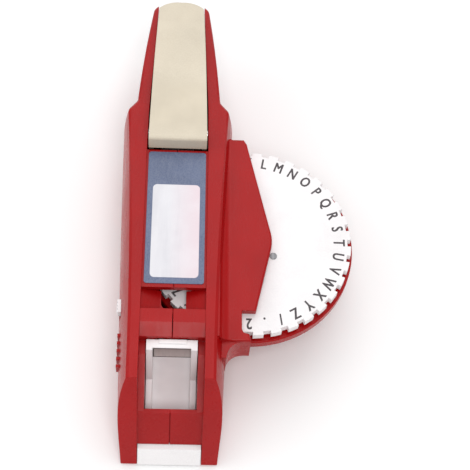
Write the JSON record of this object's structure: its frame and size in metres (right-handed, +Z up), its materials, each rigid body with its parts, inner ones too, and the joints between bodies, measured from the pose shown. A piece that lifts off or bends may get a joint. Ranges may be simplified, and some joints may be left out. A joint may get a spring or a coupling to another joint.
{
  "type": "embossing label maker",
  "caption": "Hand-held embossing label maker: casing in two halves, character dial under a side hood, squeeze lever in the handle and a tape cradle in the nose.",
  "frame": {"origin": "on the flat base's plane, on the joint line of the casing halves, level with the dial's axis", "axes": "+Z up from the base, +Y towards the handle, +X towards the dial"},
  "size_m": [0.0866, 0.177, 0.0434],
  "materials": {
    "casing_plastic": "injection-moulded red plastic with a soft gloss",
    "cream_plastic": "cream moulded plastic",
    "white_plastic": "white moulded plastic",
    "label_film": "printed plastic film, blue border",
    "grey_plastic": "grey moulded plastic, inner pieces",
    "roller_rubber": "soft rubber",
    "zinc_steel": "zinc-plated pressed steel",
    "bright_steel": "bright ground steel",
    "spring_steel": "spring steel"
  },
  "bodies": {
    "casing": {"left_shell": "casing_plastic", "right_shell": "casing_plastic", "casing_screws": "zinc_steel", "face_label": "label_film", "anvil": "zinc_steel", "dial_axle": "zinc_steel", "detent_spring": "spring_steel", "lever_pin": "bright_steel", "lever_spring": "spring_steel", "press_guide": "grey_plastic", "feed_frame": "zinc_steel", "pinch_axle": "bright_steel", "rear_tape_guide": "grey_plastic", "cutter_blade": "bright_steel", "blade_screws": "zinc_steel"},
    "dial": {"upper_dial": "white_plastic", "lower_dial": "casing_plastic", "dial_hub": "grey_plastic", "dial_rivets": "zinc_steel"},
    "lever": {"trigger_lever": "cream_plastic", "lever_arms": "zinc_steel", "arm_rivets": "zinc_steel", "cross_pin": "bright_steel"},
    "press": {"press_bar": "zinc_steel", "punch": "bright_steel", "feed_pawl": "zinc_steel"},
    "feed": {"feed_axle": "bright_steel", "ratchet_wheel": "grey_plastic", "feed_roller": "roller_rubber"},
    "pinch": {"pinch_roller": "roller_rubber"},
    "selector": {"width_selector": "white_plastic", "tape_fence": "grey_plastic"},
    "cradle": {"tape_tray": "white_plastic"}
  },
  "joints": [
    {"name": "lever_squeeze", "type": "hinge", "parent": "casing", "child": "lever", "pos_m": [0, 0.044, 0.031], "axis": [-1, 0, 0], "range_deg": [0, 10], "stiffness_Nm_per_rad": 3, "springref_deg": -5.73, "deforming": ["lever_spring"]},
    {"name": "press_lift", "type": "slide", "parent": "casing", "child": "press", "axis": [0, 0, 1], "range_m": [0, 0.0028]},
    {"name": "dial_spin", "type": "hinge", "parent": "casing", "child": "dial", "pos_m": [0.0269, 0, 0.025], "axis": [0, 0, 1], "continuous": true},
    {"name": "feed_spin", "type": "hinge", "parent": "casing", "child": "feed", "pos_m": [0, -0.0358, 0.0223], "axis": [1, 0, 0], "continuous": true},
    {"name": "pinch_spin", "type": "hinge", "parent": "casing", "child": "pinch", "pos_m": [0, -0.0358, 0.0282], "axis": [1, 0, 0], "continuous": true},
    {"name": "width_select", "type": "slide", "parent": "casing", "child": "selector", "axis": [0, -1, 0], "range_m": [0, 0.002]},
    {"name": "cradle_drop", "type": "slide", "parent": "casing", "child": "cradle", "axis": [0, 0, -1], "range_m": [0, 0.034]}
  ],
  "couplings": [
    {"joint": "press_lift", "follows": "lever_squeeze", "m_per_rad": 0.01545},
    {"joint": "pinch_spin", "follows": "feed_spin", "ratio": -1.16}
  ]
}
